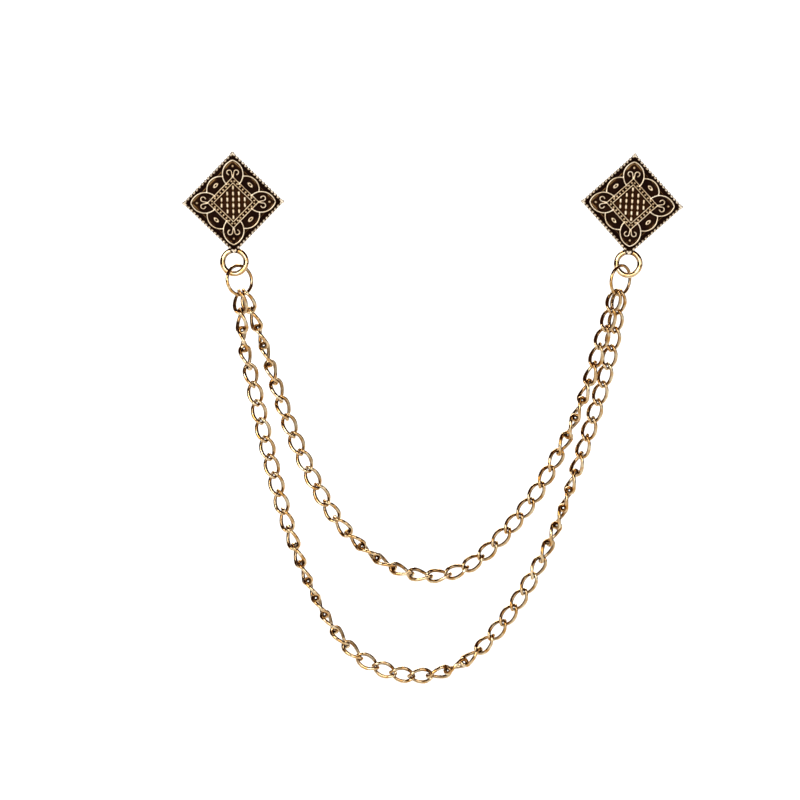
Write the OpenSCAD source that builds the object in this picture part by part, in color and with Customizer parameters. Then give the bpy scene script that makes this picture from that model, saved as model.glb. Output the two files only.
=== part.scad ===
// Lapel chain, worn: two square plaques stand on their corners, and two curb chains hang
// between them. The origin is the middle of the left plaque's back. +X runs to the right
// plaque, +Z up, and the fronts face -Y.

/* [Plaques] */
// Side of each square plaque
plaque_side = 16.2; // [15:0.2:17]
// Thickness of a plaque's plate
plate_t = 1.4; // [1.4:0.1:2]
// Height of the raised ornament above the plate
relief_h = 0.4; // [0.25:0.05:0.6]
// Width of the ornament's raised lines
line_w = 0.38; // [0.3:0.02:0.42]
// Width of the rim that carries the beads
rim_w = 1; // [0.96:0.02:1.1]
// Diameter of the beads on the rim
bead_d = 0.84; // [0.7:0.02:0.86]
// Distance between the middles of the two plaques
plaque_span = 89.2; // [86:0.2:92]
// Drop of the right plaque below the left one
right_drop = 0.4; // [0:0.2:1]
// Turn of the left plaque, counter-clockwise
left_turn = 1; // [0:0.5:2]
// Turn of the right plaque, counter-clockwise
right_turn = -3.5; // [-5:0.5:-2]

/* [Rings] */
// Outer diameter of the ring soldered below each plaque
ring_d = 6.5; // [6.4:0.05:7]
// Thickness of the soldered ring's wire
ring_wire = 1.2; // [1.1:0.05:1.25]
// Middle of the soldered ring below the plaque's corner
ring_beyond = 1.85; // [1.7:0.05:2]
// Outer diameter of the jump ring that carries the chains
jump_d = 7.4; // [7.3:0.05:8]
// Thickness of the jump ring's wire
jump_wire = 0.76; // [0.7:0.02:0.8]

/* [Chains] */
// Drop of the longer chain's middle below the plaques' middles
chain_drop = 106; // [102:1:110]
// Length of one link over its ends
link_l = 5.8; // [5.76:0.01:5.9]
// Width of one link
link_w = 3.8; // [3.6:0.05:4]
// Thickness of a link's wire
link_wire = 0.7; // [0.64:0.01:0.72]
// Twist of a link from its middle to each end
link_twist = 45; // [42:1:48]
// Free play between neighbouring links
link_play = 0.16; // [0.16:0.01:0.22]

/* [Pins] */
// Diameter of the pad behind each plaque
pad_d = 6; // [5:0.5:8]
// Thickness of the pad
pad_t = 0.8; // [0.6:0.1:1.2]
// Thickness of the pin
pin_d = 1.1; // [0.9:0.05:1.3]
// Length of the pin's straight part
pin_l = 7.5; // [6:0.5:9]
// Length of the pin's point
point_l = 1.5; // [1:0.25:2]

/* [Hidden] */
$fn = 48;

brass_dark = "#6b5434";
gilt = "#c9a660";
steel = "#b9b9b4";

// Gap between a plaque's back and its pin's pad
pad_gap = 0.05;

half_diagonal = plaque_side / sqrt(2);
rim_h = relief_h * 0.75;

// The ornament's two square frames, from the plaque's middle to their corners
frame_outer = 0.498 * half_diagonal;
frame_inner = 0.375 * half_diagonal;
// Pointed leaf at each corner
leaf_at = 0.55 * half_diagonal;
leaf_half_w = 0.21 * half_diagonal;
leaf_half_l = 0.279 * half_diagonal;
// Scrolls, dot and stem inside that leaf
scroll_at = 0.598 * half_diagonal;
scroll_out = 0.074 * half_diagonal;
scroll_r = 0.063 * half_diagonal;
dot_at = 0.711 * half_diagonal;
dot_r = 0.032 * half_diagonal;
stem_l = 0.114 * half_diagonal;
// Round lobe along each side, and the almond inside it
lobe_at = 0.35 * half_diagonal;
lobe_r = 0.267 * half_diagonal;
almond_at = 0.484 * half_diagonal;
almond_half_w = 0.054 * half_diagonal;
almond_half_l = 0.114 * half_diagonal;
// Bumps between the two frames: along and across the frame
rope_dots = 8;
rope_dot = [0.046 * half_diagonal, 0.03 * half_diagonal];
// Bumps of the lattice in the middle: steps and size across and up
lattice_step = [0.113 * half_diagonal, 0.117 * half_diagonal];
lattice_bump = [0.052 * half_diagonal, 0.075 * half_diagonal];
// Each column of the lattice: steps to the right of the middle, and bumps in it
lattice_columns = [[-2, 2], [-1, 4], [0, 6], [1, 4], [2, 2]];
beads_a_side = 16;

// Soldered ring: radius of the wire's own line, and place below the plaque's middle
ring_r = (ring_d - ring_wire) / 2;
ring_below = half_diagonal + ring_beyond;
ring_depth = -plate_t / 2;
jump_r = (jump_d - jump_wire) / 2;

// Jump rings: middle across and up from the soldered ring's, lean of the long axis,
// and turn out of the picture
jump_at = [[1.12, -4.1], [-1.74, -3.72]];
jump_lean = [11, -11];
jump_turn = [37, 49];
// Half the angle between the two chains on a jump ring's foot
foot_angle = 14;

// Span and drop that the routes below are drawn for
drawn_span = 89.2;
drawn_drop = 106;
// Routes of the chains between the jump rings: across, height, depth
outer_route = [[1.7, -24.3, -1.5], [2, -28.4, -1.7], [2.4, -32.5, -1.7], [4, -38.5, -1.4],
    [7.5, -54.5, -1], [12.6, -73.5, -1], [18.7, -89, -1], [26.2, -100, -1], [34, -104.7, -1],
    [42, -106, -1], [50.1, -103.8, -1], [57.6, -97.5, -1], [65.1, -87, -1], [71.5, -74.5, -1],
    [77, -59, -0.7], [82.1, -43, -0.1], [84.7, -32.4, 0.2], [85.4, -28.4, 0.3],
    [85.9, -24.3, 0.2]];
inner_route = [[3.8, -23.9, 0], [5.3, -27.7, 0], [6.7, -31.6, -0.1], [9.9, -42, -0.6],
    [13.4, -52, -1], [18.4, -63, -1], [22.9, -70.6, -1], [28.7, -76.9, -1], [36, -81.8, -1],
    [44, -83.7, -1], [51.5, -82, -1], [58, -77, -1], [66.7, -66.7, -1],
    [74.3, -53.2, -1.2], [79.4, -40.5, -1.7], [82, -31.8, -1.8], [83.4, -27.9, -1.8],
    [84.6, -24, -1.7]];
// Roll of the links about the chain: share of the chain's length, roll from lying flat
outer_roll = [[0.01, -12], [0.03, -40], [0.05, -76], [0.085, -140], [0.11, -178], [0.225, -184],
    [0.25, -210], [0.29, -240], [0.33, -260], [0.38, -285], [0.42, -325], [0.45, -358],
    [0.5, -368], [0.54, -438], [0.57, -495], [0.6, -536], [0.66, -542], [0.7, -590],
    [0.78, -640], [0.81, -675], [0.85, -702], [0.9, -715], [1, -718]];
inner_roll = [[0.01, -15], [0.04, -50], [0.07, -80], [0.1, -125], [0.15, -152], [0.2, -178],
    [0.3, -184], [0.34, -205], [0.39, -240], [0.42, -270], [0.45, -310], [0.53, -332],
    [0.6, -358], [0.7, -364], [0.75, -390], [0.8, -435], [0.85, -470], [0.91, -510],
    [0.96, -530], [1, -538]];

link_sides = 14;
wire_sides = 6;
// Squareness of a link's ends: 1 is an ellipse
link_square = 0.8;
half_link = (link_l - link_wire) / 2;
half_width = (link_w - link_wire) / 2;
pitch = link_l - 2 * link_wire - link_play;

plaque_turn = [left_turn, right_turn];
plaque_at = [[0, 0, 0], [plaque_span, 0, -right_drop]];

function unit(v) = v / norm(v);
function bow(v) = sign(v) * pow(abs(v), link_square);

// Middle of a soldered ring, as worn
function ring_middle(side) = plaque_at[side] + [ring_below * sin(plaque_turn[side]), ring_depth,
    -ring_below * cos(plaque_turn[side])];
// Jump ring: middle, direction to its foot, direction across, and a point on its line
function jump_middle(side) = ring_middle(side) + [jump_at[side].x, 0, jump_at[side].y];
function jump_down(side) = [sin(jump_lean[side]), 0, -cos(jump_lean[side])];
function jump_across(side) = [cos(jump_turn[side]) * cos(jump_lean[side]), sin(jump_turn[side]),
    cos(jump_turn[side]) * sin(jump_lean[side])];
function jump_out(side, angle) = cos(angle) * jump_down(side) + sin(angle) * jump_across(side);
// Where a chain's first link crosses the inside of the jump ring's foot
function hang_point(side, angle) = jump_middle(side)
    + (jump_r - (jump_wire + link_play) / 2) * jump_out(side, angle);

// A smooth line through the route's points, its length so far, and places along it
function curve(a, b, c, d, t) = (2 * b + (c - a) * t + (2 * a - 5 * b + 4 * c - d) * t * t
    + (3 * b - a - 3 * c + d) * t * t * t) / 2;
function placed(route) = [for (p = route)
    [p[0] * plaque_span / drawn_span, p[2], p[1] * chain_drop / drawn_drop]];
function ends_doubled(line) = concat([2 * line[0] - line[1]], line,
    [2 * line[len(line) - 1] - line[len(line) - 2]]);
function smooth(line, steps) = let (p = ends_doubled(line)) concat(
    [for (i = [1 : len(p) - 3], j = [0 : steps - 1])
        curve(p[i - 1], p[i], p[i + 1], p[i + 2], j / steps)], [line[len(line) - 1]]);
function lengths(line) = [for (i = 0, s = 0; i < len(line);
    s = s + (i + 1 < len(line) ? norm(line[i + 1] - line[i]) : 0), i = i + 1) s];
function joints(line) = let (
        s = lengths(line),
        total = s[len(s) - 1],
        links = ceil(total / pitch),
        table = [for (axis = [0 : 2]) [for (i = [0 : len(line) - 1]) [s[i], line[i][axis]]]])
    [for (i = [0 : links]) [for (axis = [0 : 2]) lookup(i * total / links, table[axis])]];

// One link between two joints, as rings of points round its wire
function link_point(middle, along, side, face, roll, t) = let (
        s = bow(cos(t)),
        angle = roll + link_twist * s)
    middle + half_link * s * along
    + half_width * bow(sin(t)) * (cos(angle) * side + sin(angle) * face);
function link_normal(side, face, roll, t) = let (angle = roll + link_twist * bow(cos(t)))
    cos(angle) * face - sin(angle) * side;
function link_points(from, to, roll) = let (
        along = unit(to - from),
        middle = (from + to) / 2,
        side = unit(cross(along, [0, -1, 0])),
        face = cross(side, along),
        step = 360 / link_sides,
        line = [for (i = [0 : link_sides - 1])
            link_point(middle, along, side, face, roll, (i + 0.5) * step)])
    [for (i = [0 : link_sides - 1]) let (
            next = line[(i + 1) % link_sides],
            last = line[(i + link_sides - 1) % link_sides],
            tangent = unit(next - last),
            normal = link_normal(side, face, roll, (i + 0.5) * step),
            up = unit(normal - (normal * tangent) * tangent),
            out = cross(up, tangent))
        for (q = [0 : wire_sides - 1]) let (angle = (q + 0.5) * 360 / wire_sides)
            line[i] + link_wire / 2 * (cos(angle) * out + sin(angle) * up)];
function link_faces(first) = [for (i = [0 : link_sides - 1], q = [0 : wire_sides - 1], half = [0, 1])
    let (
        a = first + i * wire_sides + q,
        b = first + i * wire_sides + (q + 1) % wire_sides,
        c = first + (i + 1) % link_sides * wire_sides + (q + 1) % wire_sides,
        d = first + (i + 1) % link_sides * wire_sides + q)
    half == 0 ? [a, c, b] : [a, d, c]];

// All links of one chain
module curb_chain(route, angle, roll) {
    line = concat([hang_point(0, -angle)], placed(route), [hang_point(1, angle)]);
    joint = joints(smooth(line, 12));
    links = len(joint) - 1;
    points = [for (i = [0 : links - 1])
        each link_points(joint[i], joint[i + 1], lookup((i + 0.5) / links, roll))];
    faces = [for (i = [0 : links - 1]) each link_faces(i * link_sides * wire_sides)];
    polyhedron(points, faces);
}

module outer_chain() color(gilt) curb_chain(outer_route, foot_angle, outer_roll);

module inner_chain() color(gilt) curb_chain(inner_route, -foot_angle, inner_roll);

module wire_ring(line_r, wire) {
    rotate_extrude() translate([line_r, 0]) circle(d = wire);
}

module jump_ring(side) {
    down = jump_down(side);
    across = jump_across(side);
    out = cross(down, across);
    middle = jump_middle(side);
    multmatrix([[down.x, across.x, out.x, middle.x],
                [down.y, across.y, out.y, middle.y],
                [down.z, across.z, out.z, middle.z],
                [0, 0, 0, 1]])
        wire_ring(jump_r, jump_wire);
}

module left_jump_ring() color(gilt) jump_ring(0);

module right_jump_ring() color(gilt) jump_ring(1);

// The flat shapes below are drawn as seen from the front
module diamond(half) {
    rotate(45) square(half * sqrt(2), center = true);
}

module diamond_line(half) {
    difference() {
        diamond(half + line_w / sqrt(2));
        diamond(half - line_w / sqrt(2));
    }
}

// A pointed leaf along Y, made narrower all round by inset
module leaf(half_w, half_l, inset = 0) {
    r = (half_w * half_w + half_l * half_l) / (2 * half_w);
    intersection() {
        translate([r - half_w, 0]) circle(r - inset);
        translate([half_w - r, 0]) circle(r - inset);
    }
}

module leaf_line(half_w, half_l) {
    difference() {
        leaf(half_w, half_l);
        leaf(half_w, half_l, line_w);
    }
}

module round_line(r) {
    difference() {
        circle(r + line_w / 2);
        circle(r - line_w / 2);
    }
}

// A curl that opens outwards and down
module scroll_line() {
    difference() {
        round_line(scroll_r - line_w / 2);
        rotate(-75) square(2 * scroll_r);
    }
}

module corner_ornament() {
    translate([0, leaf_at]) leaf_line(leaf_half_w, leaf_half_l);
    for (m = [0, 1]) mirror([m, 0]) translate([scroll_out, scroll_at]) scroll_line();
    translate([-line_w / 2, scroll_at - stem_l]) square([line_w, stem_l]);
    translate([0, dot_at]) circle(dot_r);
}

module side_ornament() {
    difference() {
        translate([0, lobe_at]) round_line(lobe_r);
        for (turn = [-45, 45]) rotate(turn)
            translate([0, leaf_at]) leaf(leaf_half_w, leaf_half_l, line_w / 2);
    }
    translate([0, almond_at]) rotate(90) leaf(almond_half_w, almond_half_l);
}

module rope_line() {
    side = (frame_outer + frame_inner) / sqrt(2);
    step = side / rope_dots;
    for (turn = [45 : 90 : 315]) rotate(turn)
        for (i = [1 : rope_dots - 1])
            translate([i * step - side / 2, side / 2])
                square(rope_dot, center = true);
}

module lattice() {
    for (column = lattice_columns, i = [0 : column[1] - 1])
        translate([column[0] * lattice_step.x, (i - (column[1] - 1) / 2) * lattice_step.y])
            scale([lattice_bump.x / lattice_bump.y, 1]) circle(d = lattice_bump.y, $fn = 8);
}

module relief() {
    difference() {
        union() {
            for (turn = [0 : 90 : 270]) rotate(turn) corner_ornament();
            for (turn = [45 : 90 : 315]) rotate(turn) side_ornament();
        }
        diamond(frame_outer);
    }
    diamond_line(frame_outer);
    diamond_line(frame_inner);
    rope_line();
    lattice();
}

module plate() {
    difference() {
        linear_extrude(plate_t + rim_h) diamond(half_diagonal);
        translate([0, 0, plate_t]) linear_extrude(rim_h + 1) diamond(half_diagonal - rim_w * sqrt(2));
    }
}

module rim_beads() {
    side = plaque_side - rim_w;
    step = side / beads_a_side;
    for (turn = [45 : 90 : 315]) rotate(turn)
        for (i = [0 : beads_a_side - 1])
            translate([i * step - side / 2, side / 2, 0]) sphere(d = bead_d);
}

module plaque(side) {
    translate(plaque_at[side]) rotate([90, -plaque_turn[side], 0]) {
        plate();
        translate([0, 0, plate_t / 2]) linear_extrude(plate_t / 2 + relief_h) relief();
        translate([0, 0, plate_t + rim_h]) rim_beads();
        translate([0, -ring_below, plate_t / 2]) wire_ring(ring_r, ring_wire);
    }
}

module left_plaque() color(brass_dark) plaque(0);

module right_plaque() color(brass_dark) plaque(1);

module pin(side) {
    translate(plaque_at[side] + [0, pad_gap, 0]) rotate([-90, 0, 0]) {
        cylinder(d = pad_d, h = pad_t);
        cylinder(d = pin_d, h = pad_t + pin_l);
        translate([0, 0, pad_t + pin_l]) cylinder(d1 = pin_d, d2 = 0.15, h = point_l);
    }
}

module left_pin() color(steel) pin(0);

module right_pin() color(steel) pin(1);

left_plaque();
left_pin();
left_jump_ring();
outer_chain();
inner_chain();
right_jump_ring();
right_pin();
right_plaque();
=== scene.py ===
import math
import bpy
from mathutils import Matrix, Vector


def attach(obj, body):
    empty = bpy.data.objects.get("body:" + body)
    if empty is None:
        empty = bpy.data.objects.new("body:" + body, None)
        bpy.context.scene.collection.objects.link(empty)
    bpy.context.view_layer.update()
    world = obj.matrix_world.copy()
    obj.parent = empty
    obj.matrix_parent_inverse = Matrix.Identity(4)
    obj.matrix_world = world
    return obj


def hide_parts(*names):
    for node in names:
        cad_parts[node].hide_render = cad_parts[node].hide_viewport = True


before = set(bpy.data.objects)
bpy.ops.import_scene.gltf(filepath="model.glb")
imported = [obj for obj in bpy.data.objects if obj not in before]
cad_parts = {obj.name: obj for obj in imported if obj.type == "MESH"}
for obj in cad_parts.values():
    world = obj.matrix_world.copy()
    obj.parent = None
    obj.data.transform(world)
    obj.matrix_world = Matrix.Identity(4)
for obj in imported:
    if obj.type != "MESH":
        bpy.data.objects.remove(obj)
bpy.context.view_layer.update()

# Pieces are modelled in millimetres, and toMetres brings each finished one to metres.
# Materials, floor, lights and camera are in metres.
millimetre = 0.001
front = Vector((0, -1, 0))


# Small helpers for the selection and for finished pieces

def deselectAll():
    bpy.ops.object.select_all(action="DESELECT")


def makeActive(piece):
    deselectAll()
    piece.select_set(True)
    bpy.context.view_layer.objects.active = piece


def editPicked(piece, kind, isWanted):
    # Edit mode with the wanted faces or edges selected, kind being FACE or EDGE
    makeActive(piece)
    bpy.ops.object.mode_set(mode="EDIT")
    bpy.ops.mesh.select_mode(type=kind)
    bpy.ops.mesh.select_all(action="DESELECT")
    bpy.ops.object.mode_set(mode="OBJECT")
    for element in piece.data.polygons if kind == "FACE" else piece.data.edges:
        element.select = isWanted(element)
    bpy.ops.object.mode_set(mode="EDIT")


def leaveEdit():
    bpy.ops.object.mode_set(mode="OBJECT")


def applyPlace(piece):
    makeActive(piece)
    bpy.ops.object.transform_apply(location=True, rotation=True, scale=True)


def joined(parts, name):
    deselectAll()
    for part in parts:
        part.select_set(True)
    bpy.context.view_layer.objects.active = parts[0]
    bpy.ops.object.join()
    piece = bpy.context.object
    piece.name = name
    piece.data.name = name
    applyPlace(piece)
    return piece


def copied(piece, place):
    twin = piece.copy()
    twin.data = piece.data.copy()
    twin.matrix_world = place @ piece.matrix_world
    bpy.context.collection.objects.link(twin)
    return twin


def applied(piece, kind, **settings):
    makeActive(piece)
    modifier = piece.modifiers.new(kind.lower(), kind)
    for key, value in settings.items():
        setattr(modifier, key, value)
    bpy.ops.object.modifier_apply(modifier=modifier.name)


def marked(piece, name, shareAt):
    # A share from 0 to 1 for each point of the mesh, which the piece's material reads
    shares = piece.data.attributes.new(name, "FLOAT", "POINT")
    for share, point in zip(shares.data, piece.data.vertices):
        share.value = min(1, max(0, shareAt(point.co)))


def toMetres(piece, place=Matrix.Identity(4)):
    piece.matrix_world = Matrix.Scale(millimetre, 4) @ place @ piece.matrix_world
    applyPlace(piece)


def finished(piece, slotName, *nodes):
    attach(piece, "root")
    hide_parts(*nodes)
    print("made", piece.name, len(piece.data.polygons), "faces")


def turned(degrees):
    # Turn in the picture, counter-clockwise as seen from the front
    return Matrix.Rotation(math.radians(-degrees), 4, "Y")


# Materials

def nodeMaker(owner):
    tree = owner.node_tree

    def node(kind, inputs=None, **settings):
        made = tree.nodes.new(kind)
        for key, value in settings.items():
            setattr(made, key, value)
        for key, value in (inputs or {}).items():
            if isinstance(value, bpy.types.NodeSocket):
                tree.links.new(value, made.inputs[key])
            else:
                made.inputs[key].default_value = value
        return made
    return node


def noise(node, place, scale, detail, roughness=0.5):
    return node("ShaderNodeTexNoise", {"Vector": place, "Scale": scale, "Detail": detail,
                                       "Roughness": roughness}).outputs["Fac"]


def mapped(node, value, source, result):
    return node("ShaderNodeMapRange", {"Value": value, "From Min": source[0], "From Max": source[1],
                                       "To Min": result[0], "To Max": result[1]}).outputs["Result"]


def bumped(node, height, strength, distance):
    return node("ShaderNodeBump", {"Height": height, "Strength": strength,
                                   "Distance": distance}).outputs["Normal"]


def newMaterial(name):
    material = bpy.data.materials.new(name)
    material.use_nodes = True
    return material


def fed(material, sources):
    # Each source is a socket to link or a plain value for the shader's own
    shader = material.node_tree.nodes["Principled BSDF"]
    for name, source in sources.items():
        if isinstance(source, bpy.types.NodeSocket):
            material.node_tree.links.new(source, shader.inputs[name])
        else:
            shader.inputs[name].default_value = source
    return material


def colourRamp(node, factor, stops):
    ramp = node("ShaderNodeValToRGB", {"Fac": factor})
    band = ramp.color_ramp
    for share, colour in stops[1:-1]:
        band.elements.new(share)
    for element, (share, colour) in zip(band.elements, stops):
        element.position = share
        element.color = (*colour, 1)
    return ramp.outputs["Color"]


antiqueBrass = {
    "ground": -0.00142,             # depth where the patina is thickest, in metres
    "worn": -0.00187,               # depth where it is rubbed off
    "edge": (-0.0012, -0.0004),     # depths over which the sides turn to bare brass
    "edgeWear": 0.68,
    "stops": [(0.0, (0.009, 0.0018, 0.0005)),
              (0.35, (0.038, 0.012, 0.003)),
              (0.58, (0.32, 0.19, 0.075)),
              (0.8, (0.84, 0.66, 0.42)),
              (1.0, (1.0, 0.90, 0.73))],
    "blotchScale": 380,
    "blotchRoughness": 0.6,
    "blotchWeight": 0.5,            # how far the blotches raise or lower the wear
    "metalFrom": (0.1, 0.6),        # wear over which patina gives way to metal
    "metal": (0.12, 1.0),
    "roughness": (0.6, 0.34),       # of the patina and of the bare brass
    "patinaSpecular": 0.04,
    "grainScale": 7000,
    "grainStrength": 0.25,
    "grainDepth": 0.00005,
}


def makeAntiqueBrass():
    look = antiqueBrass
    material = newMaterial("antiqueBrass")
    node = nodeMaker(material)
    place = node("ShaderNodeTexCoord").outputs["Object"]
    depth = node("ShaderNodeSeparateXYZ", {"Vector": place}).outputs["Y"]
    height = mapped(node, depth, (look["ground"], look["worn"]), (0, 1))
    edge = mapped(node, depth, look["edge"], (0, look["edgeWear"]))
    # Rubbed brass on the edge and amid the lattice, with a painted highlight widening the line round the
    # field at the upper left
    rubbedAndLit = node("ShaderNodeAttribute", attribute_name="rubbedAndLit").outputs["Fac"]
    bared = node("ShaderNodeMath", {0: height, 1: edge}, operation="MAXIMUM").outputs[0]
    bared = node("ShaderNodeMath", {0: bared, 1: rubbedAndLit}, operation="MAXIMUM").outputs[0]
    blotches = noise(node, place, look["blotchScale"], detail=8, roughness=look["blotchRoughness"])
    # The noise lies about 0.5, so that the blotches raise the wear as often as they lower it
    unevenness = node("ShaderNodeMath", {0: blotches, 1: 0.5}, operation="SUBTRACT").outputs[0]
    wear = node("ShaderNodeMath", {0: unevenness, 1: look["blotchWeight"], 2: bared},
                operation="MULTIPLY_ADD", use_clamp=True).outputs[0]
    grain = noise(node, place, look["grainScale"], detail=3)
    return fed(material, {
        "Base Color": colourRamp(node, wear, look["stops"]),
        "Metallic": mapped(node, wear, look["metalFrom"], look["metal"]),
        "Roughness": mapped(node, wear, (0, 1), look["roughness"]),
        "Specular IOR Level": look["patinaSpecular"],
        "Normal": bumped(node, grain, look["grainStrength"], look["grainDepth"]),
    })


giltBrass = {
    "stops": [(0.36, (0.68, 0.36, 0.10)),
              (0.66, (1.0, 0.84, 0.55))],
    # Painted shade on the inner sides of the wires and in the links' bends
    "paintedShade": (0.06, 0.012, 0.002),
    "paintedShadeShare": 0.9,
    "blotchScale": 700,
    "roughness": (0.07, 0.15),
    "grainFrom": (0.3, 0.7),        # noise over which the roughness rises
    "grainScale": 6000,
    "grainStrength": 0.12,
    "grainDepth": 0.00003,
}


def makeGiltBrass():
    look = giltBrass
    material = newMaterial("giltBrass")
    node = nodeMaker(material)
    place = node("ShaderNodeTexCoord").outputs["Object"]
    blotches = noise(node, place, look["blotchScale"], detail=3)
    gilding = colourRamp(node, blotches, look["stops"])
    # Painted shade: the wires' inner sides and the links' bends are darkened
    paintedShade = node("ShaderNodeAttribute", attribute_name="paintedShade").outputs["Fac"]
    share = node("ShaderNodeMath", {0: paintedShade, 1: look["paintedShadeShare"]}, operation="MULTIPLY").outputs[0]
    # Sockets 6 and 7 are the two colours, and output 2 is their mix
    mixed = node("ShaderNodeMix", {0: share, 6: gilding, 7: (*look["paintedShade"], 1)},
                 data_type="RGBA").outputs[2]
    grain = noise(node, place, look["grainScale"], detail=2)
    return fed(material, {
        "Base Color": mixed,
        "Metallic": 1.0,
        "Roughness": mapped(node, grain, look["grainFrom"], look["roughness"]),
        "Normal": bumped(node, grain, look["grainStrength"], look["grainDepth"]),
    })


pinSteel = {
    "stops": [(0.3, (0.40, 0.40, 0.39)),
              (0.7, (0.56, 0.56, 0.55))],
    "roughness": (0.28, 0.5),
    "grainScale": 9000,
    "grainStretch": (1.0, 0.08, 1.0),   # the grain runs along the post
}


def makeSteel():
    look = pinSteel
    material = newMaterial("pinSteel")
    node = nodeMaker(material)
    place = node("ShaderNodeTexCoord").outputs["Object"]
    drawn = node("ShaderNodeMapping", {"Vector": place, "Scale": look["grainStretch"]}).outputs["Vector"]
    grain = noise(node, drawn, look["grainScale"], detail=3)
    return fed(material, {
        "Base Color": colourRamp(node, grain, look["stops"]),
        "Metallic": 1.0,
        "Roughness": mapped(node, grain, (0, 1), look["roughness"]),
    })


antiqueMaterial = makeAntiqueBrass()
giltMaterial = makeGiltBrass()
steelMaterial = makeSteel()
print("materials made")


# Plaque, modelled with its middle at the origin, standing on its corner

plaqueSizes = {
    "side": 16.2,
    "beadsOver": 0.14,              # how far the beads stand out over the plate's edge
    "thickness": 1.4,
    "rimWidth": 0.74,
    "rimRise": 0.02,
    "grooveWidth": 0.5,
    "grooveDepth": 0.12,
    "fieldRise": 0.16,
    "ringRadius": 2.62,
    "ringWire": 1.26,
    "ringBelow": 1.85,
    "giltBelow": 0.35,              # how far under the plate's corner the gilt of the ring starts
    "voxel": 0.085,
    "smoothing": 0.4,
    "facesKept": 0.42,
}
halfDiagonal = plaqueSizes["side"] / math.sqrt(2)
groundDepth = -plaqueSizes["thickness"]
ringMiddle = Vector((0, -plaqueSizes["thickness"] / 2, -halfDiagonal - plaqueSizes["ringBelow"]))


def makePlate():
    size = plaqueSizes
    depth = size["thickness"] + size["rimRise"]
    deselectAll()
    side = size["side"] - 2 * size["beadsOver"]
    bpy.ops.mesh.primitive_cube_add(size=1, location=(0, -depth / 2, 0), scale=(side, depth, side))
    plate = bpy.context.object
    applyPlace(plate)
    editPicked(plate, "FACE", lambda face: face.normal.y < -0.9)
    bpy.ops.mesh.inset(thickness=size["rimWidth"])
    sink = size["rimRise"] + size["grooveDepth"]
    bpy.ops.mesh.extrude_region_move(TRANSFORM_OT_translate={"value": (0, sink, 0)})
    bpy.ops.mesh.inset(thickness=size["grooveWidth"])
    bpy.ops.mesh.extrude_region_move(TRANSFORM_OT_translate={"value": (0, -size["fieldRise"], 0)})
    leaveEdit()
    plate.matrix_world = turned(45)
    applyPlace(plate)
    return plate


# Shapes that the relief is put together from, before one skin is drawn over them

reliefShapes = {
    "ridgeCorners": 10,             # of a raised line's oval section
    "leastSteps": 4,                # along an arc
    "stepSweep": 18,                # degrees of an arc's step at a radius of 1 mm
    "ballSegments": 12,
    "ballRings": 8,
    "blockBevel": 0.27,
    "bevelSteps": 4,
}


# A raised line: an oval section spun about a middle, from one angle through a sweep.
# Angles run counter-clockwise as seen from the front, from +X.
def archedRidge(middle, radius, start, sweep, width, rise):
    along = Vector((math.cos(math.radians(start)), 0, math.sin(math.radians(start))))
    centre = Vector((middle[0], groundDepth, middle[1]))
    deselectAll()
    bpy.ops.mesh.primitive_circle_add(vertices=reliefShapes["ridgeCorners"], radius=width / 2,
                                      fill_type="NGON", location=centre + radius * along,
                                      rotation=(0, -math.radians(start), 0))
    ridge = bpy.context.object
    ridge.scale = (1, 2 * rise / width, 1)
    applyPlace(ridge)
    bpy.ops.object.mode_set(mode="EDIT")
    bpy.ops.mesh.select_all(action="SELECT")
    steps = max(reliefShapes["leastSteps"], int(abs(sweep) * radius / reliefShapes["stepSweep"]))
    bpy.ops.mesh.spin(steps=steps, angle=math.radians(sweep), center=centre, axis=(0, 1, 0))
    bpy.ops.mesh.select_all(action="SELECT")
    bpy.ops.mesh.normals_make_consistent(inside=False)
    leaveEdit()
    return ridge


def straightRidge(start, end, width, rise):
    a, b = Vector((start[0], groundDepth, start[1])), Vector((end[0], groundDepth, end[1]))
    deselectAll()
    bpy.ops.mesh.primitive_cylinder_add(vertices=reliefShapes["ridgeCorners"], radius=width / 2,
                                        depth=(b - a).length)
    ridge = bpy.context.object
    # The cylinder's own Y stays along the depth, so that its scale there is the rise
    across = (b - a).normalized()
    side = Vector((0, 1, 0)).cross(across)
    turn = Matrix((side, Vector((0, 1, 0)), across)).transposed().to_4x4()
    ridge.matrix_world = (Matrix.Translation((a + b) / 2) @ turn
                          @ Matrix.Diagonal((1, 2 * rise / width, 1, 1)))
    applyPlace(ridge)
    return ridge


def bump(at, long, wide, rise, turn=0, depth=groundDepth):
    deselectAll()
    bpy.ops.mesh.primitive_uv_sphere_add(segments=reliefShapes["ballSegments"],
                                         ring_count=reliefShapes["ballRings"], radius=1)
    ball = bpy.context.object
    ball.matrix_world = (Matrix.Translation((at[0], depth, at[1])) @ turned(turn)
                         @ Matrix.Diagonal((long, rise, wide, 1)))
    applyPlace(ball)
    return ball


def block(at, long, wide, rise):
    deselectAll()
    bpy.ops.mesh.primitive_cube_add(size=2, location=(at[0], groundDepth, at[1]),
                                    scale=(long, rise, wide))
    piece = bpy.context.object
    applyPlace(piece)
    applied(piece, "BEVEL", width=reliefShapes["blockBevel"], segments=reliefShapes["bevelSteps"])
    return piece


# Places on the ornament are across and up from the plaque's middle

cornerLeaf = {
    "reach": 9.45, "middle": 6.3, "halfWidth": 2.3, "footAngle": -46, "lineWidth": 0.43, "rise": 0.47,
    "scrollAt": (0.8, 6.72), "scrollRadius": 0.54, "scrollSweep": 255, "scrollWidth": 0.37,
    "scrollRise": 0.46, "scrollEnd": 0.24, "stemFoot": (0.1, 5.7),
    "dotAt": 8.12, "dotWide": 0.36, "dotTall": 0.396, "dotRise": 0.42,
}


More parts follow.
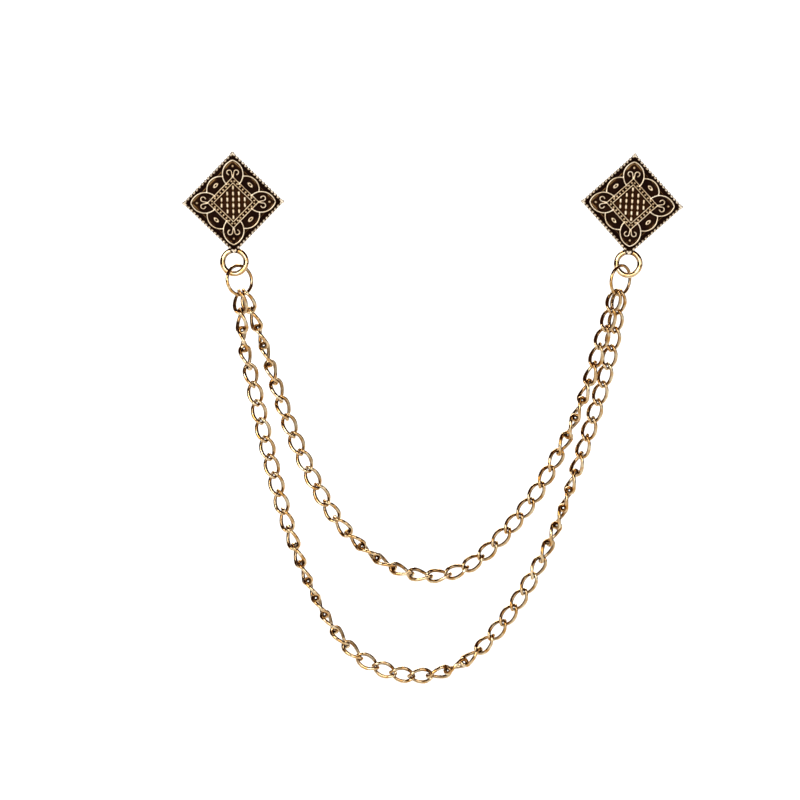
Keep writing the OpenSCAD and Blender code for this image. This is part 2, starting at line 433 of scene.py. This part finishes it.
def makeCornerLeaf():
    leaf = cornerLeaf
    # Two arcs meet in the tip, each spun about a middle on the other's side
    tall = leaf["reach"] - leaf["middle"]
    radius = (leaf["halfWidth"] ** 2 + tall ** 2) / (2 * leaf["halfWidth"])
    offset = radius - leaf["halfWidth"]
    foot = leaf["footAngle"]
    sweep = math.degrees(math.acos(offset / radius)) - foot
    parts = [archedRidge((-offset, leaf["middle"]), radius, foot, sweep, leaf["lineWidth"], leaf["rise"]),
             archedRidge((offset, leaf["middle"]), radius, 180 - foot, -sweep, leaf["lineWidth"],
                         leaf["rise"])]
    x, z = leaf["scrollAt"]
    stemX, stemZ = leaf["stemFoot"]
    r, width, rise = leaf["scrollRadius"], leaf["scrollWidth"], leaf["scrollRise"]
    for side in (1, -1):
        start = 90 + 90 * side
        curl = -side * leaf["scrollSweep"]
        parts.append(archedRidge((side * x, z), r, start, curl, width, rise))
        end = math.radians(start + curl)
        parts.append(bump((side * x + r * math.cos(end), z + r * math.sin(end)),
                          leaf["scrollEnd"], leaf["scrollEnd"], rise))
        parts.append(straightRidge((side * (x - r), z), (side * stemX, stemZ), width, rise))
    parts.append(bump((0, leaf["dotAt"]), leaf["dotWide"], leaf["dotTall"], leaf["dotRise"]))
    return joined(parts, "cornerLeaf")


sideLobe = {
    "middle": 4.02, "radius": 3.02, "spread": 57, "lineWidth": 0.44, "rise": 0.46,
    "almondAt": 5.45, "almondLong": 0.53, "almondWide": 0.28, "almondRise": 0.46,
    "almondFullness": 0.68,         # thickness of its rim, the hollow being the rest
}


def makeSideLobe():
    lobe = sideLobe
    parts = [archedRidge((0, lobe["middle"]), lobe["radius"], 90 - lobe["spread"],
                         2 * lobe["spread"], lobe["lineWidth"], lobe["rise"])]
    # The almond is a small ring drawn long, with a hollow in its middle
    deselectAll()
    bpy.ops.mesh.primitive_torus_add(major_segments=20, minor_segments=8,
                                     major_radius=1, minor_radius=lobe["almondFullness"])
    almond = bpy.context.object
    almond.matrix_world = (Matrix.Translation((0, groundDepth, lobe["almondAt"]))
                           @ Matrix.Diagonal((lobe["almondLong"],
                                              lobe["almondRise"] / lobe["almondFullness"],
                                              lobe["almondWide"], 1))
                           @ Matrix.Rotation(math.radians(90), 4, "X"))
    applyPlace(almond)
    parts.append(almond)
    return joined(parts, "sideLobe")


squareFrame = {
    "outer": 5.7, "inner": 4.35, "outerWidth": 0.34, "innerWidth": 0.32, "rise": 0.44,
    "bumps": 8, "bumpLong": 0.34, "bumpWide": 0.3, "bumpRise": 0.44,
}


def makeFrameSide():
    square = squareFrame
    parts = []
    for reach, width in ((square["outer"], square["outerWidth"]),
                         (square["inner"], square["innerWidth"])):
        half = reach / math.sqrt(2)
        parts.append(straightRidge((-half, half), (half, half), width, square["rise"]))
    row = (square["outer"] + square["inner"]) / 2 / math.sqrt(2)
    step = 2 * row / square["bumps"]
    for i in range(square["bumps"]):
        parts.append(bump((-row + (i + 0.5) * step, row), square["bumpLong"], square["bumpWide"],
                          square["bumpRise"]))
    return joined(parts, "frameSide")


lattice = {
    "across": 1.3, "up": 1.33, "columns": {-2: 2, -1: 4, 0: 6, 1: 4, 2: 2},
    "blockLong": 1.06, "blockWide": 0.6, "rise": 0.44,
    "ribWidth": 0.36, "ribRise": 0.26, "ribOver": 0.5,
}


def makeLattice():
    parts = []
    for column, rows in lattice["columns"].items():
        x = column * lattice["across"]
        half = (rows - 1) / 2 * lattice["up"]
        for row in range(rows):
            parts.append(block((x, row * lattice["up"] - half), lattice["blockWide"] / 2,
                               lattice["blockLong"] / 2, lattice["rise"]))
        end = half + lattice["ribOver"]
        parts.append(straightRidge((x, -end), (x, end), lattice["ribWidth"], lattice["ribRise"]))
    return joined(parts, "lattice")


rimBeads = {
    "aSide": 17, "fromEdge": 0.33, "long": 0.43, "wide": 0.34, "rise": 0.5, "slant": 28,
    "atCorner": 0.36, "cornerOut": 0.08,
}


def makeRimSide():
    rim = rimBeads
    row = plaqueSizes["side"] / 2 - rim["fromEdge"]
    step = 2 * row / rim["aSide"]
    depth = groundDepth - plaqueSizes["rimRise"]
    beads = [bump((-row + (i + 0.5) * step, row), rim["long"], rim["wide"], rim["rise"],
                  rim["slant"], depth) for i in range(rim["aSide"])]
    corner = row + rim["cornerOut"]
    beads.append(bump((corner, corner), rim["atCorner"], rim["atCorner"], rim["rise"], 0, depth))
    return joined(beads, "rimSide")


def makeSolderedRing():
    deselectAll()
    bpy.ops.mesh.primitive_torus_add(major_segments=64, minor_segments=18,
                                     major_radius=plaqueSizes["ringRadius"],
                                     minor_radius=plaqueSizes["ringWire"] / 2,
                                     location=ringMiddle, rotation=(math.radians(90), 0, 0))
    ring = bpy.context.object
    applyPlace(ring)
    return ring


# Painted shade on the inner side of a ring's wire
ringPaintedShade = {"most": 0.75, "outside": 0.1, "fade": 0.6}   # the last two as shares of the wire


def innerShare(reach, radius, wire):
    # How far a point of a ring's wire lies towards the ring's middle, as a share of painted shade
    dark = ringPaintedShade
    return dark["most"] * (radius + dark["outside"] * wire - reach) / (dark["fade"] * wire)


rubbedAndLitPlaces = {
    "edgeFrom": 10.5, "edgeFade": 0.25,
    "beadFoot": 1.5, "beadFade": 0.12, "beadLeast": 0.1,
    # The line's extra spread towards the upper left is a painted highlight
    "line": 0.6, "lineAt": 9.4, "lineWidth": 0.18, "litSpread": 0.5, "litFrom": 0.2,
    "frontDepth": -1.38,            # the line shows only in front of this depth
    "middle": 0.29, "middleReach": 4.3, "middleFade": 0.4,
}


def rubbedAndLitShare(point):
    # Bare brass on the beaded edge, in a line round the field and amid the lattice;
    # the line's breadth at its upper left is a painted highlight, where the light falls
    wear = rubbedAndLitPlaces
    reach = abs(point.x) + abs(point.z)
    edge = (reach - wear["edgeFrom"]) / wear["edgeFade"]
    # Painted highlight: the line grows broader towards the upper left, where the light falls
    lit = min(1, max(0, (point.z - point.x) / reach - wear["litFrom"])) if reach else 0
    spread = wear["lineWidth"] + wear["litSpread"] * lit
    line = wear["line"] * (1 - abs(reach - wear["lineAt"]) / spread)
    middle = wear["middle"] * min(1, (wear["middleReach"] - reach) / wear["middleFade"])
    beadTop = min(1, max(wear["beadLeast"], (-point.y - wear["beadFoot"]) / wear["beadFade"]))
    return max(min(1, edge) * beadTop, line if point.y < wear["frontDepth"] else 0, middle)


def makePlaque():
    parts = [makePlate(), makeSolderedRing(), makeLattice()]
    for maker, firstTurn in ((makeCornerLeaf, 0), (makeSideLobe, 45), (makeFrameSide, 45),
                             (makeRimSide, 45)):
        master = maker()
        parts.extend(copied(master, turned(firstTurn + 90 * i)) for i in range(4))
        bpy.data.objects.remove(master)
    plaque = joined(parts, "plaque")
    # One cast skin over all of it, then fewer faces where it is flat
    applied(plaque, "REMESH", mode="VOXEL", voxel_size=plaqueSizes["voxel"])
    applied(plaque, "SMOOTH", factor=plaqueSizes["smoothing"], iterations=1)
    applied(plaque, "DECIMATE", ratio=plaqueSizes["facesKept"])
    plaque.data.materials.clear()
    plaque.data.materials.append(antiqueMaterial)
    plaque.data.materials.append(giltMaterial)
    for face in plaque.data.polygons:
        if abs(face.center.x) - face.center.z > halfDiagonal + plaqueSizes["giltBelow"]:
            face.material_index = 1
    # Rubbed brass, with a painted highlight along the field's edge at the upper left
    marked(plaque, "rubbedAndLit", rubbedAndLitShare)
    # Painted shade on the inner side of the soldered ring
    marked(plaque, "paintedShade", lambda point: innerShare((point - ringMiddle).xz.length,
                                                       plaqueSizes["ringRadius"],
                                                       plaqueSizes["ringWire"]))
    makeActive(plaque)
    bpy.ops.object.shade_smooth()
    # Broad faces lead the shading, so that the back and the grooves look flat
    applied(plaque, "WEIGHTED_NORMAL", mode="FACE_AREA", weight=50)
    return plaque


plaquePlaces = {
    "left_plaque": {"at": (0, 0, 0), "turn": 1.0},
    "right_plaque": {"at": (89.2, 0, -0.4), "turn": -3.5},
}
plaqueMaster = makePlaque()
for node, place in plaquePlaces.items():
    plaque = copied(plaqueMaster, Matrix.Identity(4))
    plaque.name = plaque.data.name = node.split("_")[0] + "PlaqueCast"
    toMetres(plaque, Matrix.Translation(place["at"]) @ turned(place["turn"]))
    finished(plaque, "antique_brass", node)
bpy.data.objects.remove(plaqueMaster)


# Jump rings: middle across and up from the soldered ring's, then lean and turn in degrees

jumpRings = {
    "radius": 3.32,
    "wire": 0.75,
    "left_jump_ring": {"plaque": "left_plaque", "at": (1.12, -4.1), "lean": 11, "turn": 37},
    "right_jump_ring": {"plaque": "right_plaque", "at": (-1.74, -3.72), "lean": -11, "turn": 49},
}


def jumpFrame(name):
    ring = jumpRings[name]
    plaque = plaquePlaces[ring["plaque"]]
    below = halfDiagonal + plaqueSizes["ringBelow"]
    turn, lean, out = (math.radians(v) for v in (plaque["turn"], ring["lean"], ring["turn"]))
    middle = Vector(plaque["at"]) + Vector((below * math.sin(turn) + ring["at"][0],
                                            -plaqueSizes["thickness"] / 2,
                                            -below * math.cos(turn) + ring["at"][1]))
    down = Vector((math.sin(lean), 0, -math.cos(lean)))
    across = Vector((math.cos(out) * math.cos(lean), math.sin(out), math.cos(out) * math.sin(lean)))
    return middle, down, across


for name in ("left_jump_ring", "right_jump_ring"):
    middle, down, across = jumpFrame(name)
    deselectAll()
    bpy.ops.mesh.primitive_torus_add(major_segments=80, minor_segments=16,
                                     major_radius=jumpRings["radius"],
                                     minor_radius=jumpRings["wire"] / 2)
    ring = bpy.context.object
    ring.name = ring.data.name = name.split("_")[0] + "JumpRing"
    # Painted shade on the ring's inner side
    marked(ring, "paintedShade", lambda point: innerShare(point.xy.length, jumpRings["radius"],
                                                     jumpRings["wire"]))
    turn = Matrix((down, across, down.cross(across))).transposed().to_4x4()
    toMetres(ring, Matrix.Translation(middle) @ turn)
    bpy.ops.object.shade_smooth()
    ring.data.materials.append(giltMaterial)
    finished(ring, "gilt_brass", name)


# Chains: one twisted link is modelled, and its copies follow the routes

linkSizes = {
    "length": 6.16,
    "width": 3.75,
    "wire": 0.87,
    "pitch": 4.24,
    "play": 0.1,                    # between a jump ring and the link that hangs on it
    "twist": 48,                    # even twist from the middle to each end, in degrees
    "endTwist": 26,                 # added over each end's share of the length
    "endShare": 0.31,
    "endFullness": 0.62,            # handles of the outline, as a share of its half sizes
    "sideFullness": 0.56,
    "arcSteps": 10,                 # in each quarter of the outline
    "wireSteps": 3,                 # in each quarter of the wire, between its ends
}

# A route's points are across, up and depth. A roll is the share of the chain's length and the
# degrees by which the link there is turned about the chain.

chains = {
    "footAngle": 14,                # half the angle between the chains on a jump ring's foot
    "routeSteps": 12,               # of the smooth line between two points of a route
    "outer": {
        "route": [(1.7, -24.3, -1.5), (2, -28.4, -1.7), (2.4, -32.5, -1.7), (4, -38.5, -1.4),
                  (7.5, -54.5, -1), (12.6, -73.5, -1), (18.7, -89, -1), (26.2, -100, -1),
                  (34, -104.7, -1), (42, -106, -1), (50.1, -103.8, -1), (57.6, -97.5, -1),
                  (65.1, -87, -1), (71.5, -74.5, -1), (77, -59, -0.7), (82.1, -43, -0.1),
                  (84.7, -32.4, 0.2), (85.4, -28.4, 0.3), (85.9, -24.3, 0.2)],
        "roll": [(0.01, -28), (0.03, -56), (0.05, -90), (0.085, -143), (0.11, -178), (0.216, -184),
                 (0.25, -210), (0.29, -240), (0.33, -262), (0.38, -283), (0.42, -315), (0.44, -345),
                 (0.46, -360), (0.5, -376), (0.54, -438), (0.57, -490), (0.6, -532), (0.66, -542),
                 (0.7, -590), (0.78, -640), (0.81, -675), (0.85, -702), (0.9, -715), (1, -718)],
        "side": 1,
    },
    "inner": {
        "route": [(3.8, -23.9, 0), (5.3, -27.7, 0), (6.7, -31.6, -0.1), (9.9, -42, -0.6),
                  (13.4, -52, -1), (18.4, -63, -1), (22.9, -70.6, -1), (28.7, -76.9, -1),
                  (36, -81.8, -1), (44, -83.7, -1), (51.5, -82, -1), (58, -77, -1),
                  (66.7, -66.7, -1), (74.3, -53.2, -1.2), (79.4, -40.5, -1.7), (82, -31.8, -1.8),
                  (83.4, -27.9, -1.8), (84.6, -24, -1.7)],
        "roll": [(0.013, -32), (0.04, -62), (0.07, -84), (0.1, -112), (0.145, -135), (0.2, -162),
                 (0.25, -180), (0.3, -189), (0.34, -212), (0.39, -252), (0.42, -275), (0.46, -302),
                 (0.53, -323), (0.57, -338), (0.61, -358), (0.7, -364), (0.75, -390), (0.8, -435),
                 (0.85, -470), (0.91, -510), (0.96, -530), (1, -538)],
        "side": -1,
    },
}

# Painted shade inside the links
linkPaintedShade = {
    "squareness": 2.5, "insideTo": 1.1, "insideFade": 0.4,
    "bendFrom": 0.45, "bendFade": 0.45, "atSide": 0.6, "moreAtBend": 0.4,
}


def linkShadeShare(point, halfLength, halfWidth):
    # Painted shade, darkest inside the bends, where the links shade each other
    dark = linkPaintedShade
    along, across = abs(point.x) / halfLength, abs(point.y) / halfWidth
    reach = along ** dark["squareness"] + across ** dark["squareness"]
    inside = min(1, max(0, (dark["insideTo"] - reach) / dark["insideFade"]))
    bend = min(1, max(0, along - dark["bendFrom"]) / dark["bendFade"])
    return inside * (dark["atSide"] + dark["moreAtBend"] * bend)


def makeLink():
    size = linkSizes
    halfLength = (size["length"] - size["wire"]) / 2
    halfWidth = (size["width"] - size["wire"]) / 2
    deselectAll()
    bpy.ops.curve.primitive_bezier_circle_add(radius=1)
    link = bpy.context.object
    outline = link.data
    # The circle's four points move out to the link's ends and sides, and their handles follow
    for point in outline.splines[0].bezier_points:
        point.handle_left_type = point.handle_right_type = "FREE"
        corner = Vector((point.co.x * halfLength, point.co.y * halfWidth, 0))
        atSide, atEnd = abs(point.co.y) > 0.5, abs(point.co.x) > 0.5
        reach = Vector((halfLength * size["sideFullness"] if atSide else 0,
                        halfWidth * size["endFullness"] if atEnd else 0, 0))
        turn = Vector((point.handle_right.x - point.co.x,
                       point.handle_right.y - point.co.y, 0)).normalized()
        reach = Vector((reach.x * turn.x, reach.y * turn.y, 0))
        point.co = corner
        point.handle_right = corner + reach
        point.handle_left = corner - reach
    outline.resolution_u = size["arcSteps"]
    outline.bevel_depth = size["wire"] / 2
    outline.bevel_resolution = size["wireSteps"]
    bpy.ops.object.convert(target="MESH")
    link = bpy.context.object
    # Painted shade inside the bends
    marked(link, "paintedShade", lambda point: linkShadeShare(point, halfLength, halfWidth))
    applied(link, "SIMPLE_DEFORM", deform_method="TWIST", deform_axis="X",
            angle=math.radians(-2 * size["twist"]))
    # The two ends' own twists turn the middle by as much the one way as the other
    for limits in ((0, size["endShare"]), (1 - size["endShare"], 1)):
        applied(link, "SIMPLE_DEFORM", deform_method="TWIST", deform_axis="X", limits=limits,
                angle=math.radians(-size["endTwist"]))
    bpy.ops.object.shade_smooth()
    return link


def smoothLine(points, steps):
    # A curve through all the points, in short straight steps
    ends = [2 * points[0] - points[1], *points, 2 * points[-1] - points[-2]]
    line = []
    for a, b, c, d in zip(ends, ends[1:], ends[2:], ends[3:]):
        for j in range(steps):
            t = j / steps
            line.append((2 * b + (c - a) * t + (2 * a - 5 * b + 4 * c - d) * t * t
                         + (3 * b - a - 3 * c + d) * t ** 3) / 2)
    return line + [points[-1]]


def lookUp(table, share):
    # The table's value at a share, evenly between two of its rows
    if share <= table[0][0]:
        return table[0][1]
    for (a, low), (b, high) in zip(table, table[1:]):
        if share <= b:
            return low + (high - low) * (share - a) / (b - a)
    return table[-1][1]


def jointsAlong(line):
    # Even places along the line, where each link ends and the next begins
    runs = [0.0]
    for a, b in zip(line, line[1:]):
        runs.append(runs[-1] + (b - a).length)
    links = math.ceil(runs[-1] / linkSizes["pitch"])
    tables = [[(run, point[axis]) for run, point in zip(runs, line)] for axis in range(3)]
    return [Vector([lookUp(table, i * runs[-1] / links) for table in tables])
            for i in range(links + 1)]


def hangPoint(name, angle):
    # Where a chain's line ends inside a jump ring, so that the link there hangs on its wire
    middle, down, across = jumpFrame(name)
    size = linkSizes
    overhang = (size["length"] - size["wire"] - size["pitch"]) / 2
    reach = jumpRings["radius"] - (jumpRings["wire"] + size["wire"]) / 2 - size["play"] + overhang
    return middle + reach * (math.cos(angle) * down + math.sin(angle) * across)


def makeChain(name, link):
    chain = chains[name]
    angle = math.radians(chains["footAngle"]) * chain["side"]
    route = [Vector((x, y, z)) for x, z, y in chain["route"]]
    ends = hangPoint("left_jump_ring", -angle), hangPoint("right_jump_ring", angle)
    joints = jointsAlong(smoothLine([ends[0], *route, ends[1]], chains["routeSteps"]))
    links = []
    for i, (a, b) in enumerate(zip(joints, joints[1:])):
        along = (b - a).normalized()
        side = along.cross(front).normalized()
        face = side.cross(along)
        roll = math.radians(lookUp(chain["roll"], (i + 0.5) / (len(joints) - 1)))
        width = math.cos(roll) * side + math.sin(roll) * face
        turn = Matrix((along, width, along.cross(width))).transposed().to_4x4()
        links.append(copied(link, Matrix.Translation((a + b) / 2) @ turn))
    piece = joined(links, name + "CurbChain")
    piece.data.materials.clear()
    piece.data.materials.append(giltMaterial)
    toMetres(piece)
    finished(piece, "gilt_brass", name + "_chain")


linkMaster = makeLink()
for name in ("outer", "inner"):
    makeChain(name, linkMaster)
bpy.data.objects.remove(linkMaster)


# Pins keep the solids' shape and get their steel

for name in ("left_pin", "right_pin"):
    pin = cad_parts[name]
    pin.data.materials.clear()
    pin.data.materials.append(steelMaterial)
print("pins finished")


# Floor, backdrop, lights and camera

studio = {
    "floorDepth": -0.17,
    "wallBehind": 1.3,
    "floorAhead": 1.3,
    "wallHeight": 0.8,
    "sheetWidth": 2.4,
    "bendRadius": 0.15,             # of the sheet, between floor and wall
    "bendSteps": 12,
    "paper": (0.92, 0.92, 0.92),
    "paperRoughness": 0.9,
    "view": (0.0373, -0.0442),      # middle of the picture, across and up
    "shown": 0.1792,                # width of the picture at the plaques
    "lens": 200,
    "glow": (0.034, 0.009, 0.002),  # what the metal mirrors where no light stands
    "sky": (0.86, 0.86, 0.86),      # what shows behind the piece from the sides and the back
    "skyOnFloor": 0.3,              # how much of the sky lights the paper
}


def makeSweep():
    # Floor and backdrop in one sheet: a plane whose far edge is extruded up
    deselectAll()
    back, ahead = studio["wallBehind"], studio["floorAhead"]
    bpy.ops.mesh.primitive_plane_add(size=1, location=(studio["view"][0], (back - ahead) / 2,
                                                       studio["floorDepth"]))
    sweep = bpy.context.object
    sweep.name = "sweep"
    sweep.scale = (studio["sheetWidth"], back + ahead, 1)
    applyPlace(sweep)
    points = sweep.data.vertices
    editPicked(sweep, "EDGE", lambda edge: all(points[v].co.y > back - 0.01 for v in edge.vertices))
    bpy.ops.mesh.extrude_region_move(TRANSFORM_OT_translate={"value": (0, 0, studio["wallHeight"])})
    leaveEdit()
    applied(sweep, "BEVEL", width=studio["bendRadius"], segments=studio["bendSteps"],
            limit_method="ANGLE")
    bpy.ops.object.shade_smooth()
    sweep.data.materials.append(fed(newMaterial("palePaper"), {
        "Base Color": (*studio["paper"], 1),
        "Roughness": studio["paperRoughness"],
    }))


softboxes = {
    # name: place, aim, size, power, colour
    "key": ((-0.48, -0.85, 0.4), (0.03, 0, -0.04), 0.42, 4.0, (1.0, 0.97, 0.92)),
    "fill": ((0.75, -0.65, 0.12), (0.04, 0, -0.04), 0.3, 0.9, (1.0, 0.92, 0.86)),
    "front": ((0.04, -1.25, 0.12), (0.04, 0, -0.04), 0.54, 4.0, (1.0, 0.97, 0.92)),
    "wallWash": ((0.04, 0.5, 0.75), (0.04, 1.3, -0.1), 0.7, 13.0, (1.0, 1.0, 1.0)),
}


def makeLights():
    for name, (place, aim, size, power, colour) in softboxes.items():
        light = bpy.data.lights.new(name, "AREA")
        light.size = size
        light.energy = power
        light.color = colour
        lamp = bpy.data.objects.new(name, light)
        lamp.location = place
        lamp.rotation_euler = (Vector(aim) - Vector(place)).to_track_quat("-Z", "Y").to_euler()
        bpy.context.collection.objects.link(lamp)
    world = bpy.data.worlds.new("studioSky")
    bpy.context.scene.world = world
    world.use_nodes = True
    node = nodeMaker(world)
    rays = node("ShaderNodeLightPath").outputs
    share = node("ShaderNodeMath", {0: rays["Is Diffuse Ray"], 1: studio["skyOnFloor"],
                                    2: rays["Is Camera Ray"]}, operation="MULTIPLY_ADD").outputs[0]
    seen = node("ShaderNodeMix", {0: share, 6: (*studio["glow"], 1), 7: (*studio["sky"], 1)},
                data_type="RGBA").outputs[2]
    world.node_tree.links.new(seen, world.node_tree.nodes["Background"].inputs["Color"])


def makeCamera():
    data = bpy.data.cameras.new("camera")
    data.lens = studio["lens"]
    data.sensor_width = 36
    data.clip_start, data.clip_end = 0.05, 10
    camera = bpy.data.objects.new("camera", data)
    away = studio["shown"] * studio["lens"] / data.sensor_width
    camera.location = (studio["view"][0], -away, studio["view"][1])
    camera.rotation_euler = (math.radians(90), 0, 0)
    bpy.context.collection.objects.link(camera)
    bpy.context.scene.camera = camera


makeSweep()
makeLights()
makeCamera()
bpy.context.scene.view_settings.view_transform = "Standard"
print("stage set")
